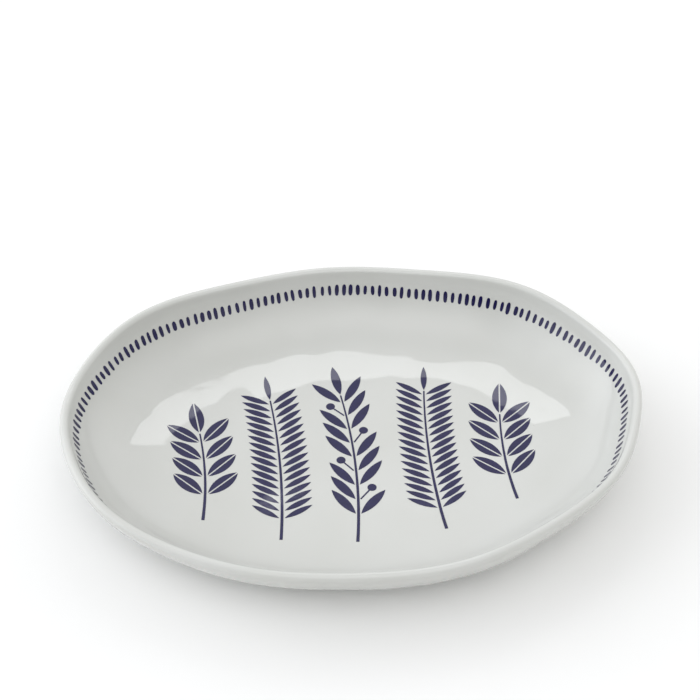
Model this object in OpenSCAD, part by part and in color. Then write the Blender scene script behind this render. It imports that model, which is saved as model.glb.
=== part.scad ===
// Oval serving platter of glazed stoneware, with a hand-formed rim, an unglazed foot,
// a printed border of short strokes inside the rim and a row of printed herb sprigs in the well.
// Sizes are in millimetres. The origin is the middle of the surface that the foot stands on,
// with X along the platter and Z up.

/* [Platter] */
// Overall length of the rim
platter_l = 400; // [340:2:460]
// Overall width of the rim
platter_w = 290; // [264:2:330]
// Depth from the top of the rim to the well
depth = 41.5; // [34:0.5:48]
// Slope of the wall where it meets the rim, in degrees
rim_slope = 77; // [70:1:84]
// Thickness of the wall and the floor, glaze included
wall_t = 6.4; // [5:0.1:7.6]

/* [Hand-formed rim] */
// How far the rim swells out at three places round it
three_swell = 2; // [0:0.1:4]
// How far the rim swells out at four places round it
four_swell = 0.8; // [0:0.1:2]
// How far the rim swells out at five places round it
five_swell = 0.6; // [0:0.1:2]
// How far the rim rises at two places round it
two_rise = 0.8; // [0:0.1:2]
// How far the rim rises at four places round it
four_rise = 0.7; // [0:0.1:2]
// How far the rim rises at five places round it
five_rise = 1; // [0:0.1:2]
// How far the rim rises at seven places round it
seven_rise = 0.9; // [0:0.1:2]

/* [Foot] */
// Height of the foot
foot_h = 4; // [3:0.1:6]
// Width of the foot where it joins the base
foot_t = 8; // [6:0.2:12]
// Distance from the start of the wall's curve in to the foot
foot_setback = 12; // [9:0.5:16]
// Outer radius of the foot's rounded ends
foot_end_r = 54; // [46:1:60]
// How far each side of the foot leans in towards the bottom
foot_taper = 1; // [0:0.1:1.5]
// Chamfer along the foot's bottom edges
foot_chamfer = 0.8; // [0.2:0.1:1.2]

/* [Glaze] */
// Thickness of the glaze
glaze_t = 0.35; // [0.25:0.05:0.6]
// Bare strip of clay left between the glaze and the foot
glaze_wipe = 1.5; // [0.5:0.1:3]

/* [Border print] */
// Number of strokes round the rim
stroke_count = 190; // [160:2:220]
// Length of a stroke
stroke_l = 8.1; // [6:0.1:9]
// Width of a stroke
stroke_w = 2.5; // [1.8:0.1:2.8]
// How much the strokes' lengths and widths vary by hand
stroke_vary = 0.16; // [0:0.01:0.2]
// Distance down the wall from the rim to the middle of the border
border_drop = 13.2; // [11:0.1:16]
// Thickness of the printed colour
print_t = 0.2; // [0.1:0.05:0.4]
// Clearance under the printed colour
print_gap = 0.03; // [0.01:0.01:0.1]

/* [Sprig prints] */
// Distance from the stem of the last sprig at each end to the start of the wall's curve
sprig_end_gap = 40.6; // [36:0.2:46]
// Distance that the sprigs keep from the start of the wall's curve
sprig_margin = 8; // [5:0.5:14]
// Width of a sprig's stem at its foot
stem_w = 2.2; // [1.4:0.1:3]
// Gap between a stem and its leaves
leaf_gap = 0.8; // [0.4:0.1:1.5]
// Width of the unprinted rib down a bay leaf
rib_w = 1; // [0.6:0.1:1.6]
// Distance from the tip of a bay leaf to the middle of the space between sprigs
bay_clear = 3.6; // [3:0.1:8]
// Width of a bay leaf
bay_leaf_w = 10.5; // [8:0.1:11]
// Distance along the stem between pairs of bay leaves
bay_pitch = 16; // [15.5:0.1:20]
// Angle between a bay leaf and its stem
bay_lean = 47; // [44:1:60]
// Angle through which a bay sprig's stem bends
bay_bend = 14; // [4:1:30]
// Distance from the tip of a fern's leaflet to the middle of the space between sprigs
fern_clear = 5.4; // [4:0.1:9]
// Width of a fern's leaflet
fern_leaf_w = 4.4; // [3:0.1:4.8]
// Distance along the stem between pairs of leaflets
fern_pitch = 6.6; // [6.4:0.1:9]
// Angle between a leaflet and its stem
fern_lean = 58; // [54:1:70]
// Angle through which a fern's stem bends
fern_bend = 12; // [4:1:24]
// Distance from the tip of an olive leaf to the middle of the space between sprigs
olive_clear = 7.5; // [6:0.1:10]
// Width of an olive leaf
olive_leaf_w = 6.6; // [5:0.1:7]
// Distance along the stem between pairs of olive leaves
olive_pitch = 13; // [12.5:0.1:16]
// Angle between an olive leaf and its stem
olive_lean = 38; // [36:1:55]
// Angle through which the olive sprig's stem bends
olive_bend = 16; // [4:1:30]
// Diameter of an olive
olive_d = 6.4; // [5:0.1:7]
// Length of an olive's stalk, to the middle of the olive
olive_stalk_l = 13; // [10:0.5:16]

/* [Hidden] */

clay_colour = [0.78, 0.73, 0.65];
glaze_colour = [0.93, 0.93, 0.91];
print_colour = [0.14, 0.13, 0.33];

// The wall's section is two arcs about one centre, joined over the rim by a half-round lip
lip_r = wall_t / 2;
inner_r = depth / (1 - cos(rim_slope)) - lip_r;
middle_r = inner_r + lip_r;
outer_r = inner_r + wall_t;
curve_inset = lip_r + middle_r * sin(rim_slope);
curve_z = foot_h + outer_r - glaze_t;
lip_at = [curve_inset - middle_r * sin(rim_slope), curve_z - middle_r * cos(rim_slope)];
well_z = curve_z - inner_r;

// The border's strokes lie on one flat band of the wall, two strokes to each facet round the rim
degrees_per_radian = 180 / PI;
border_angle = rim_slope - border_drop / inner_r * degrees_per_radian;
band_half = (stroke_l * (1 + stroke_vary) / 2 + print_t) / inner_r * degrees_per_radian;
strokes_per_facet = 2;
facets = stroke_count / strokes_per_facet;
stroke_points = 12;
stroke_seed = 11;

// Steps of the section's arcs
low_steps = 5;
lip_steps = 6;
outer_steps = 7;
inner_angles = concat(
    [for (k = [0 : low_steps - 1]) k * (border_angle - band_half) / low_steps],
    [border_angle - band_half, border_angle + band_half, rim_slope]
);
band_row = low_steps;

// The oval outline, centred and brought to its overall length and width
three_swell_at = 30;
four_swell_at = 40;
five_swell_at = 0;
function swell(t) =
    three_swell * cos(3 * (t - three_swell_at))
    + four_swell * cos(4 * (t - four_swell_at))
    + five_swell * cos(5 * (t - five_swell_at));
function loose_outline(t) =
    [(platter_l / 2 + swell(t)) * cos(t), (platter_w / 2 + swell(t)) * sin(t)];
loose_x = [for (t = [0 : 359]) loose_outline(t)[0]];
loose_y = [for (t = [0 : 359]) loose_outline(t)[1]];
loose_middle = [(max(loose_x) + min(loose_x)) / 2, (max(loose_y) + min(loose_y)) / 2];
loose_size = [max(loose_x) - min(loose_x), max(loose_y) - min(loose_y)];
function outline(t) =
    let (p = loose_outline(t) - loose_middle)
    [p[0] * platter_l / loose_size[0], p[1] * platter_w / loose_size[1]];
two_rise_at = -60;
four_rise_at = 40;
five_rise_at = -15;
seven_rise_at = -10;
function rise(t) =
    two_rise * cos(2 * (t - two_rise_at))
    + four_rise * cos(4 * (t - four_rise_at))
    + five_rise * cos(5 * (t - five_rise_at))
    + seven_rise * cos(7 * (t - seven_rise_at));
function unit(v) = v / norm(v);
nearby = 0.1;
function outward(t) =
    let (along = unit(outline(t + nearby) - outline(t - nearby)))
    [along[1], -along[0]];
function inset_point(t, inset) = outline(t) - inset * outward(t);

// Angles round the rim at which the border's facets meet, equally far apart along the border
border_inset = curve_inset - inner_r * sin(border_angle);
fine_steps = 720;
function fine_point(i) = inset_point(i * 360 / fine_steps, border_inset);
way_round = [
    for (
        i = 0, s = 0;
        i <= fine_steps;
        s = s + norm(fine_point(i + 1) - fine_point(i)), i = i + 1
    ) [s, i * 360 / fine_steps]
];
way_total = way_round[fine_steps][0];
rim_angles = [for (i = [0 : facets - 1]) lookup(i * way_total / facets, way_round)];
rim_points = [for (t = rim_angles) outline(t)];
rim_outward = [for (t = rim_angles) outward(t)];
rim_rise = [for (t = rim_angles) rise(t)];

// A section point is an inset from the rim, a height and the share of the rim's rise that it takes
function arc_point(r, a) =
    [curve_inset - r * sin(a), curve_z - r * cos(a), pow(a / rim_slope, 2)];
function lip_point(r, a) = [
    lip_at[0] + r * sin(rim_slope - a),
    lip_at[1] + r * cos(rim_slope - a),
    1
];
function section(skin) = concat(
    [for (a = inner_angles) arc_point(inner_r + skin, a)],
    [for (k = [1 : lip_steps - 1]) lip_point(lip_r - skin, k * 180 / lip_steps)],
    [for (k = [outer_steps : -1 : 0]) arc_point(outer_r - skin, k * rim_slope / outer_steps)]
);
function ring(p) = [
    for (i = [0 : facets - 1])
    let (flat = rim_points[i] - p[0] * rim_outward[i])
    [flat[0], flat[1], p[1] + p[2] * rim_rise[i]]
];

// The two rings that bound the border's band on the glaze
band_low = ring(section(0)[band_row]);
band_high = ring(section(0)[band_row + 1]);

// The foot is an oval of four arcs, each tangent to the next
foot_half_l = platter_l / 2 - curve_inset - foot_setback;
foot_half_w = platter_w / 2 - curve_inset - foot_setback;
foot_end_x = foot_half_l - foot_end_r;
foot_side_r = (pow(foot_end_x, 2) + pow(foot_half_w, 2) - pow(foot_end_r, 2))
    / (2 * (foot_half_w - foot_end_r));
foot_side_y = foot_side_r - foot_half_w;
foot_end_angle = atan2(foot_side_y, foot_end_x);
function foot_edge(direction, inset) =
    let (
        across = direction[0] < 0 ? -1 : 1,
        up = direction[1] < 0 ? -1 : 1,
        on_end = abs(direction[0]) > cos(foot_end_angle)
    )
    on_end
        ? [across * foot_end_x, 0] + (foot_end_r - inset) * direction
        : [0, -up * foot_side_y] + (foot_side_r - inset) * direction;
function foot_ring_points(inset) = [for (way = rim_outward) foot_edge(way, inset)];
function at_height(flat, z) = [for (p = flat) [p[0], p[1], z]];

// A section point of the foot is an inset from its outer edge and a height
foot_section = [
    [0, foot_h],
    [foot_taper, foot_chamfer],
    [foot_taper + foot_chamfer, 0],
    [foot_t - foot_taper - foot_chamfer, 0],
    [foot_t - foot_taper, foot_chamfer],
    [foot_t, foot_h]
];

// The sprigs stand side by side along the well, from the middle one to the last at each end,
// as long as the well is wide there, and their leaves fill the space that each has
well_half_l = platter_l / 2 - curve_inset;
well_half_w = platter_w / 2 - curve_inset;
last_place = 2;
sprig_pitch = (well_half_l - sprig_end_gap) / last_place;
function sprig_len(x) =
    2 * (well_half_w * sqrt(1 - pow(x / well_half_l, 2)) - sprig_margin);
function leaf_len(clear, lean) = (sprig_pitch / 2 - clear - stem_w / 2 - leaf_gap) / sin(lean);
bay_leaf_l = leaf_len(bay_clear, bay_lean);
fern_leaf_l = leaf_len(fern_clear, fern_lean);
olive_leaf_l = leaf_len(olive_clear, olive_lean);
bare_share = 0.1;
tip_share = 0.5;
stem_steps = 12;
smooth = 180;

// Solid through a list of rings, closed by a point at each end
module loft(rings, first, last) {
    count = len(rings);
    points = concat([first], [for (r = rings) each r], [last]);
    function at(k, i) = 1 + k * facets + i % facets;
    start = [for (i = [0 : facets - 1]) [0, at(0, i + 1), at(0, i)]];
    sides = [
        for (k = [0 : count - 2], i = [0 : facets - 1])
        each [
            [at(k, i), at(k, i + 1), at(k + 1, i + 1)],
            [at(k, i), at(k + 1, i + 1), at(k + 1, i)]
        ]
    ];
    end = [for (i = [0 : facets - 1]) [len(points) - 1, at(count - 1, i), at(count - 1, i + 1)]];
    polyhedron(points, concat(start, sides, end));
}

// Solid through a list of rings, the last of which meets the first
module hoop(rings) {
    count = len(rings);
    function at(k, i) = (k % count) * facets + i % facets;
    sides = [
        for (k = [0 : count - 1], i = [0 : facets - 1])
        each [
            [at(k, i), at(k, i + 1), at(k + 1, i + 1)],
            [at(k, i), at(k + 1, i + 1), at(k + 1, i)]
        ]
    ];
    polyhedron([for (r = rings) each r], sides);
}

module clay_body() {
    color(clay_colour)
        loft(
            [for (p = section(glaze_t)) ring(p)],
            [0, 0, well_z - glaze_t],
            [0, 0, foot_h]
        );
}

module foot_ring() {
    color(clay_colour)
        hoop([for (p = foot_section) at_height(foot_ring_points(p[0]), p[1])]);
}

module glaze_coat() {
    clay = section(glaze_t);
    edge = foot_ring_points(-glaze_wipe);
    color(glaze_colour)
        loft(
            concat(
                [for (p = section(0)) ring(p)],
                [at_height(edge, foot_h - glaze_t), at_height(edge, foot_h)],
                [for (k = [len(clay) - 1 : -1 : 0]) ring(clay[k])]
            ),
            [0, 0, well_z],
            [0, 0, well_z - glaze_t]
        );
}

module base_glaze() {
    color(glaze_colour)
        translate([0, 0, foot_h - glaze_t])
            linear_extrude(glaze_t)
                polygon(foot_ring_points(foot_t + glaze_wipe));
}

// One stroke laid on the glazed wall, at a share of the way across a facet
module stroke(facet, share, length, width) {
    next = (facet + 1) % facets;
    foot = band_low[facet] + share * (band_low[next] - band_low[facet]);
    head = band_high[facet] + share * (band_high[next] - band_high[facet]);
    up = unit(head - foot);
    facing = unit(cross(up, band_low[next] - band_low[facet]));
    across = cross(up, facing);
    seat = (foot + head) / 2 + print_gap * facing;
    multmatrix([
        [across[0], up[0], facing[0], seat[0]],
        [across[1], up[1], facing[1], seat[1]],
        [across[2], up[2], facing[2], seat[2]],
        [0, 0, 0, 1]
    ])
        linear_extrude(print_t)
            polygon([
                for (k = [0 : stroke_points - 1])
                let (a = k * 360 / stroke_points)
                [width / 2 * cos(a), length / 2 * sin(a)]
            ]);
}

// The strokes of one quarter of the border, which is printed from one transfer
module border_print(quarter) {
    lengths = rands(1 - stroke_vary, 1 + stroke_vary, stroke_count, stroke_seed);
    widths = rands(1 - stroke_vary, 1 + stroke_vary, stroke_count, stroke_seed + 1);
    color(print_colour)
        for (i = [0 : facets - 1])
            if (floor(4 * i / facets + 0.5) % 4 == quarter)
                for (k = [0 : strokes_per_facet - 1]) {
                    n = strokes_per_facet * i + k;
                    share = (k + 0.5) / strokes_per_facet;
                    stroke(i, share, stroke_l * lengths[n], stroke_w * widths[n]);
                }
}

module border_print_right() { border_print(0); }
module border_print_back() { border_print(1); }
module border_print_left() { border_print(2); }
module border_print_front() { border_print(3); }

// A pointed leaf along X, between two arcs
module leaf(l, w) {
    r = (pow(l, 2) + pow(w, 2)) / (4 * w);
    intersection() {
        translate([l / 2, r - w / 2])
            circle(r, $fn = smooth);
        translate([l / 2, w / 2 - r])
            circle(r, $fn = smooth);
    }
}

// A leaf in two halves, with the rib between them left unprinted
module ribbed_leaf(l, w) {
    r = (pow(l, 2) + pow(w, 2)) / (4 * w);
    for (side = [0, 1])
        mirror([0, side, 0])
            intersection() {
                translate([l / 2, w / 2 - r])
                    circle(r, $fn = smooth);
                translate([0, rib_w / 2])
                    square([l, w]);
            }
}

// An olive on its stalk along X
module olive() {
    stalk_w = stem_w * tip_share;
    translate([0, -stalk_w / 2])
        square([olive_stalk_l, stalk_w]);
    translate([olive_stalk_l, 0])
        circle(d = olive_d, $fn = smooth);
}

// A bent stem along Y with leaves in pairs up to a leaf at its tip. The first child is a leaf. A second child
// takes a leaf's place at every other pair, on one side and then on the other.
module sprig(length, bend, leaf_l, pitch, lean) {
    stem_l = length - leaf_l - leaf_gap;
    r = stem_l / bend * degrees_per_radian;
    pairs = floor(stem_l * (1 - bare_share) / pitch);
    function bearing(s) = (s / stem_l - 0.5) * bend;
    function half_w(s) = stem_w / 2 * (1 - (1 - tip_share) * s / stem_l);
    function stem_point(s, off) =
        (r + off) * [cos(bearing(s)), sin(bearing(s))] - [r, leaf_l / 2];
    edge = [for (k = [0 : stem_steps]) k * stem_l / stem_steps];
    translate([0, 0, well_z + print_gap])
        linear_extrude(print_t) {
            polygon(concat(
                [for (s = edge) stem_point(s, half_w(s))],
                [for (k = [stem_steps : -1 : 0]) stem_point(edge[k], -half_w(edge[k]))]
            ));
            for (k = [0 : pairs - 1], side = [-1, 1]) {
                s = stem_l - (k + 0.5) * pitch;
                swap = $children > 1 && (k + side) % 4 == 0;
                translate(stem_point(s, side * (half_w(s) + leaf_gap)))
                    rotate(90 + bearing(s) - side * lean)
                        children(swap ? 1 : 0);
            }
            translate(stem_point(stem_l + leaf_gap, 0))
                rotate(90 + bearing(stem_l))
                    children(0);
        }
}

module bay_sprig(place) {
    x = place * sprig_pitch;
    color(print_colour)
        translate([x, 0, 0])
            sprig(sprig_len(x), bay_bend, bay_leaf_l, bay_pitch, bay_lean)
                ribbed_leaf(bay_leaf_l, bay_leaf_w);
}

module fern_sprig(place) {
    x = place * sprig_pitch;
    color(print_colour)
        translate([x, 0, 0])
            sprig(sprig_len(x), fern_bend, fern_leaf_l, fern_pitch, fern_lean)
                leaf(fern_leaf_l, fern_leaf_w);
}

module olive_print() {
    color(print_colour)
        sprig(sprig_len(0), olive_bend, olive_leaf_l, olive_pitch, olive_lean) {
            leaf(olive_leaf_l, olive_leaf_w);
            olive();
        }
}

module bay_print_left() { bay_sprig(-last_place); }
module fern_print_left() { fern_sprig(-1); }
module fern_print_right() { mirror([1, 0, 0]) fern_sprig(-1); }
module bay_print_right() { mirror([1, 0, 0]) bay_sprig(-last_place); }

clay_body();
foot_ring();
glaze_coat();
base_glaze();
border_print_right();
border_print_back();
border_print_left();
border_print_front();
bay_print_left();
fern_print_left();
olive_print();
fern_print_right();
bay_print_right();
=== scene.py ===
# %% [markdown]
# # An oval serving platter in glazed stoneware
# The platter is one fired pot: a clay body pressed over a mould, a foot, a coat of glaze, and colour
# printed on it in a border of short strokes and a row of herb sprigs. The CAD model has all of these at
# their real size. Here each one gets its smooth, hand-formed surface and its finish. Blender works in the
# CAD's own frame, in metres, so every piece goes where the CAD has it.

# %% Load the CAD frame
import math
import bpy
from mathutils import Matrix, Vector


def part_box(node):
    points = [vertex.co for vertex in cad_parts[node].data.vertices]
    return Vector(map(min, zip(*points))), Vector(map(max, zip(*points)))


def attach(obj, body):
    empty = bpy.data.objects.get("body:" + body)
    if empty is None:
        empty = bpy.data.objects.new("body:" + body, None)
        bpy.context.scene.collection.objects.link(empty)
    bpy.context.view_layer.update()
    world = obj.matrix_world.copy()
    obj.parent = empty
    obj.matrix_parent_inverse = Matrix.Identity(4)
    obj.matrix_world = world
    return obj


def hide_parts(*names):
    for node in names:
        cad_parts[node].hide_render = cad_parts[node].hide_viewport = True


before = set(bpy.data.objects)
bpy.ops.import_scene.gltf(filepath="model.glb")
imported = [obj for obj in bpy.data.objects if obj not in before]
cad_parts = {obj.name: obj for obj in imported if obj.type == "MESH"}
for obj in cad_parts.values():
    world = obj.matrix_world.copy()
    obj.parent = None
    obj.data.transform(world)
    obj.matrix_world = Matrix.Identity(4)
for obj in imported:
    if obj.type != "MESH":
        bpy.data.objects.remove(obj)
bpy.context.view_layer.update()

MM = 0.001
scene = bpy.context.scene

# %% [markdown]
# ## The camera
# The photographer stood in front of the platter's long side and looked down at it at about 45 degrees,
# from a little over a metre, with a short telephoto lens. A camera can be placed by eye or by an empty
# that it tracks. Here its three axes are worked out from the two angles, so the aim can be shifted along
# the picture itself.

# %% Camera
camera_lens_mm = 91.1
camera_distance = 1206.7 * MM
camera_elevation = math.radians(45.2)
camera_azimuth = math.radians(-5.07)
rim_middle = Vector((0, 0, 48.35 * MM))
aim_right = -2.7 * MM
aim_up = 41.9 * MM

picture_right = Vector((math.cos(camera_azimuth), math.sin(camera_azimuth), 0))
picture_in = Vector((
    -math.sin(camera_azimuth) * math.cos(camera_elevation),
    math.cos(camera_azimuth) * math.cos(camera_elevation),
    -math.sin(camera_elevation),
))
picture_up = picture_right.cross(picture_in)
aim = rim_middle + aim_right * picture_right + aim_up * picture_up

camera = bpy.data.objects.new("camera", bpy.data.cameras.new("camera"))
camera.data.lens = camera_lens_mm
camera.matrix_world = (
    Matrix.Translation(aim - camera_distance * picture_in)
    @ Matrix((picture_right, picture_up, -picture_in)).transposed().to_4x4()
)
scene.collection.objects.link(camera)
scene.camera = camera
scene.view_settings.view_transform = "Standard"
print("camera at", [round(x, 3) for x in camera.matrix_world.translation])

# %% [markdown]
# ## Building with nodes
# Every material and every Geometry Nodes tree below is built by one small function that adds a node, sets
# its properties and fills its sockets, either with plain values or with links from other nodes. Kinds of
# node that come up often have a short name here, and so do the commonest sums, which are a math node and
# its operation. Colours are written as sRGB hex values, as a designer would note them, and turned to
# the linear values that Blender works in.

# %% Node and colour helpers
MATH = "ShaderNodeMath"
PLUS = (MATH, "ADD")
MINUS = (MATH, "SUBTRACT")
TIMES = (MATH, "MULTIPLY")
OVER = (MATH, "DIVIDE")
TIMES_PLUS = (MATH, "MULTIPLY_ADD")
VECTOR = "ShaderNodeVectorMath"
VECTOR_PLUS = (VECTOR, "ADD")
VECTOR_MINUS = (VECTOR, "SUBTRACT")
SCALE = (VECTOR, "SCALE")
MIX = "ShaderNodeMix"
XYZ = "ShaderNodeCombineXYZ"
SPLIT = "ShaderNodeSeparateXYZ"
NOISE = "ShaderNodeTexNoise"
RANGE = "ShaderNodeMapRange"
GROUP = "GeometryNodeGroup"
PLACE = "GeometryNodeInputPosition"
MOVE = "GeometryNodeSetPosition"
GRID = "GeometryNodeMeshGrid"


def fill(tree, node, inputs):
    """Fills a node's sockets, by name or number, with plain values or links from sockets or nodes."""
    sockets = [socket for socket in node.inputs if socket.enabled]
    for key, source in inputs.items():
        socket = sockets[key] if isinstance(key, int) else next(s for s in sockets if s.name == key)
        if isinstance(source, bpy.types.Node):
            source = next(output for output in source.outputs if output.enabled)
        if isinstance(source, bpy.types.NodeSocket):
            tree.links.new(source, socket)
        else:
            socket.default_value = source


def add(tree, kind, *inputs, **settings):
    """Adds a node with its settings. Its inputs are given in order, or as one dictionary by name."""
    if isinstance(kind, tuple):
        kind, settings["operation"] = kind
    node = tree.nodes.new(kind)
    for name, value in settings.items():
        setattr(node, name, value)
    by_name = inputs and isinstance(inputs[0], dict)
    fill(tree, node, inputs[0] if by_name else dict(enumerate(inputs)))
    return node


def linear(hex_colour):
    """Linear RGBA of an sRGB hex colour."""
    channels = [int(hex_colour[k:k + 2], 16) / 255 for k in (1, 3, 5)]
    return [c / 12.92 if c <= 0.04045 else ((c + 0.055) / 1.055) ** 2.4 for c in channels] + [1]


# %% [markdown]
# ## The finishes
# The glaze is a thick opaque glass over pale clay: a soft warm white, very glossy, with a faint unevenness
# in tone where it ran thicker or thinner. The print lies under the same gloss, so it takes the glaze's
# ripple and only its colour differs. The foot is bare clay, matt and gritty. Pictures of such surfaces
# could be wrapped round the pieces, but noise needs no file and has no seam. All three read Object
# coordinates, which run through the pieces in real metres, so a pattern's scale is one over its size.


# %% White gloss glaze
def new_material(name):
    """A node material: returns it with its tree, its Principled shader and its Object coordinates."""
    material = bpy.data.materials.new(name)
    material.use_nodes = True
    tree = material.node_tree
    place = add(tree, "ShaderNodeTexCoord").outputs["Object"]
    return material, tree, tree.nodes["Principled BSDF"], place


glaze_tone_size = 70 * MM
glaze_ripple_size = 6 * MM
glaze_ripple_depth = 0.012 * MM
gloss_smooth = 0.03
gloss_rough = 0.06
glaze_light = linear("#D0D1CE")
glaze_shade = linear("#C6C7C2")


def fire_gloss(tree, shader, place, colour):
    """The fired gloss that the glaze and the print share: a hard clear skin with a fine ripple."""
    ripple = add(tree, NOISE, {"Vector": place, "Scale": 1 / glaze_ripple_size, "Detail": 1.5})
    fill(tree, shader, {
        "Base Color": colour,
        "Roughness": add(tree, RANGE, {"Value": ripple, "To Min": gloss_smooth, "To Max": gloss_rough}),
        "IOR": 1.52,
        "Normal": add(tree, "ShaderNodeBump", {"Height": ripple, "Distance": glaze_ripple_depth}),
    })


# Tin-white stoneware glaze, dipped and fired: glassy highlights over a tone that drifts very slightly
white_glaze, tree, shader, place = new_material("white_gloss_glaze")
drift = add(tree, NOISE, {"Vector": place, "Scale": 1 / glaze_tone_size, "Detail": 2.0})
fire_gloss(tree, shader, place, add(tree, MIX, drift, glaze_shade, glaze_light, data_type="RGBA"))
print("made", white_glaze.name)

# %% Navy print under the gloss
print_mottle_size = 3 * MM
navy_deep = linear("#110E36")
navy_light = linear("#1E1B50")

# Cobalt ceramic transfer, printed and fired under the gloss: flat navy with a faint screen mottle
navy_print, tree, shader, place = new_material("navy_underglaze_print")
mottle = add(tree, NOISE, {"Vector": place, "Scale": 1 / print_mottle_size, "Detail": 3.0})
fire_gloss(tree, shader, place, add(tree, MIX, mottle, navy_deep, navy_light, data_type="RGBA"))
print("made", navy_print.name)

# %% Bare stoneware
clay_grit_size = 0.9 * MM
clay_speck_size = 2.5 * MM
clay_grit_depth = 0.08 * MM
speck_core = 0.1
speck_edge = 0.2
speck_strength = 0.8
clay_pale = linear("#D3C8B4")
clay_dark = linear("#B5A68E")
iron_speck = linear("#6E5B45")

# Bare fired stoneware, wiped clean of glaze and ground on a stone: chalky, buff and finely gritty
bare_stoneware, tree, shader, place = new_material("bare_stoneware")
grit = add(tree, NOISE, {"Vector": place, "Scale": 1 / clay_grit_size, "Detail": 4.0})
buff = add(tree, MIX, grit, clay_dark, clay_pale, data_type="RGBA")
specks = add(tree, "ShaderNodeTexVoronoi", {"Vector": place, "Scale": 1 / clay_speck_size})
speck_mask = add(tree, RANGE, {
    "Value": specks,
    "From Min": speck_core,
    "From Max": speck_edge,
    "To Min": speck_strength,
    "To Max": 0.0,
})
fill(tree, shader, {
    "Base Color": add(tree, MIX, speck_mask, buff, iron_speck, data_type="RGBA"),
    "Roughness": 0.88,
    "Normal": add(tree, "ShaderNodeBump", {"Height": grit, "Distance": clay_grit_depth}),
})
print("made", bare_stoneware.name)

# %% [markdown]
# ## The rule of the rim
# The rim is an oval that a hand has pressed: it swells out a little at three, four and five places, the
# grip of the fingers leaves smaller swells at eight and nine, and its edge rises and dips. It could be
# sculpted, but a sum of waves is a rule that answers for any angle, so it goes in a Geometry Nodes group.
# For an angle round the platter the group gives a point of the rim, the direction that faces out of the
# platter there, and the rise of the edge. The oval is measured by its own bounding box and brought to the
# exact length and width of the CAD's glaze.


# %% Trees with named inputs
def new_tree(name, inputs, outputs):
    """A Geometry Nodes tree, with its inner input and output. An input has its kind or its usual value."""
    tree = bpy.data.node_groups.new(name, "GeometryNodeTree")
    for label, value in inputs.items():
        kind = value if isinstance(value, str) else type(value).__name__.capitalize()
        socket = tree.interface.new_socket(label, in_out="INPUT", socket_type="NodeSocket" + kind)
        if kind != value:
            socket.default_value = value
    for label, kind in outputs.items():
        tree.interface.new_socket(label, in_out="OUTPUT", socket_type="NodeSocket" + kind)
    return tree, tree.nodes.new("NodeGroupInput").outputs, tree.nodes.new("NodeGroupOutput")


def tell(tree):
    """Says how large a finished tree is."""
    print("made tree", tree.name, "with", len(tree.nodes), "nodes")


def wave_inputs(label, sizes):
    """A tree's inputs for the sizes of waves, by how many crests each has round the platter."""
    return {f"{label} at {count} places": size for count, size in sizes.items()}


def waves(tree, angle, given, label, places):
    """A sum of waves round the platter. Sizes are the tree's inputs, and crests lie at these degrees."""
    total = 0.0
    for count, place in places.items():
        turned = add(tree, TIMES_PLUS, angle, count, -count * math.radians(place))
        crest = add(tree, MATH, turned, operation="COSINE")
        total = add(tree, TIMES_PLUS, crest, given[f"{label} at {count} places"], total)
    return total


# %% Oval that swells by hand
swell_sizes = {3: 2 * MM, 4: 0.8 * MM, 5: 0.6 * MM, 8: 0.4 * MM, 9: 0.9 * MM}
swell_places = {3: 30, 4: 40, 5: 0, 8: 10, 9: 10}
round_inputs = {"Angle": "Float", "Size": "Vector"}

loose_oval, given, made = new_tree(
    "Swelling oval",
    round_inputs | wave_inputs("Swell", swell_sizes),
    {"Point": "Vector"},
)
swell = waves(loose_oval, given["Angle"], given, "Swell", swell_places)
half_size = add(loose_oval, VECTOR, given["Size"], (0.5, 0.5, 0.5), swell, operation="MULTIPLY_ADD")
spoke = add(
    loose_oval, XYZ,
    add(loose_oval, MATH, given["Angle"], operation="COSINE"),
    add(loose_oval, MATH, given["Angle"], operation="SINE"),
)
fill(loose_oval, made, {"Point": add(loose_oval, VECTOR, half_size, spoke, operation="MULTIPLY")})
tell(loose_oval)

# %% Rim with its outward direction and its rise
rise_sizes = {2: 0.75 * MM, 4: 0.65 * MM, 5: 0.95 * MM, 7: 0.85 * MM}
rise_places = {2: -60, 4: 40, 5: -15, 7: -10}
measured_points = 1440
angle_step = math.radians(0.1)

rim_rule, given, made = new_tree(
    "Hand-formed rim",
    round_inputs | wave_inputs("Rise", rise_sizes),
    {"Point": "Vector", "Outward": "Vector", "Rise": "Float"},
)


def oval_at(angle):
    """The swelling oval's point at an angle."""
    return add(rim_rule, GROUP, {"Angle": angle, "Size": given["Size"]}, node_tree=loose_oval)


point_angle = add(rim_rule, TIMES, add(rim_rule, "GeometryNodeInputIndex"), math.tau / measured_points)
measured = add(rim_rule, MOVE, {
    "Geometry": add(rim_rule, "GeometryNodeMeshCircle", {"Vertices": measured_points}),
    "Position": oval_at(point_angle),
})
oval_box = add(rim_rule, "GeometryNodeBoundBox", {"Geometry": measured}).outputs
oval_size = add(rim_rule, VECTOR_MINUS, oval_box["Max"], oval_box["Min"])
both_ends = add(rim_rule, VECTOR_PLUS, oval_box["Max"], oval_box["Min"])
oval_middle = add(rim_rule, SCALE, both_ends, 0.5)
stretch = add(rim_rule, VECTOR, given["Size"], oval_size, operation="DIVIDE")


def rim_at(angle):
    """The rim's point at an angle, centred and brought to its true size."""
    centred = add(rim_rule, VECTOR_MINUS, oval_at(angle), oval_middle)
    return add(rim_rule, VECTOR, centred, stretch, operation="MULTIPLY")


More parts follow.
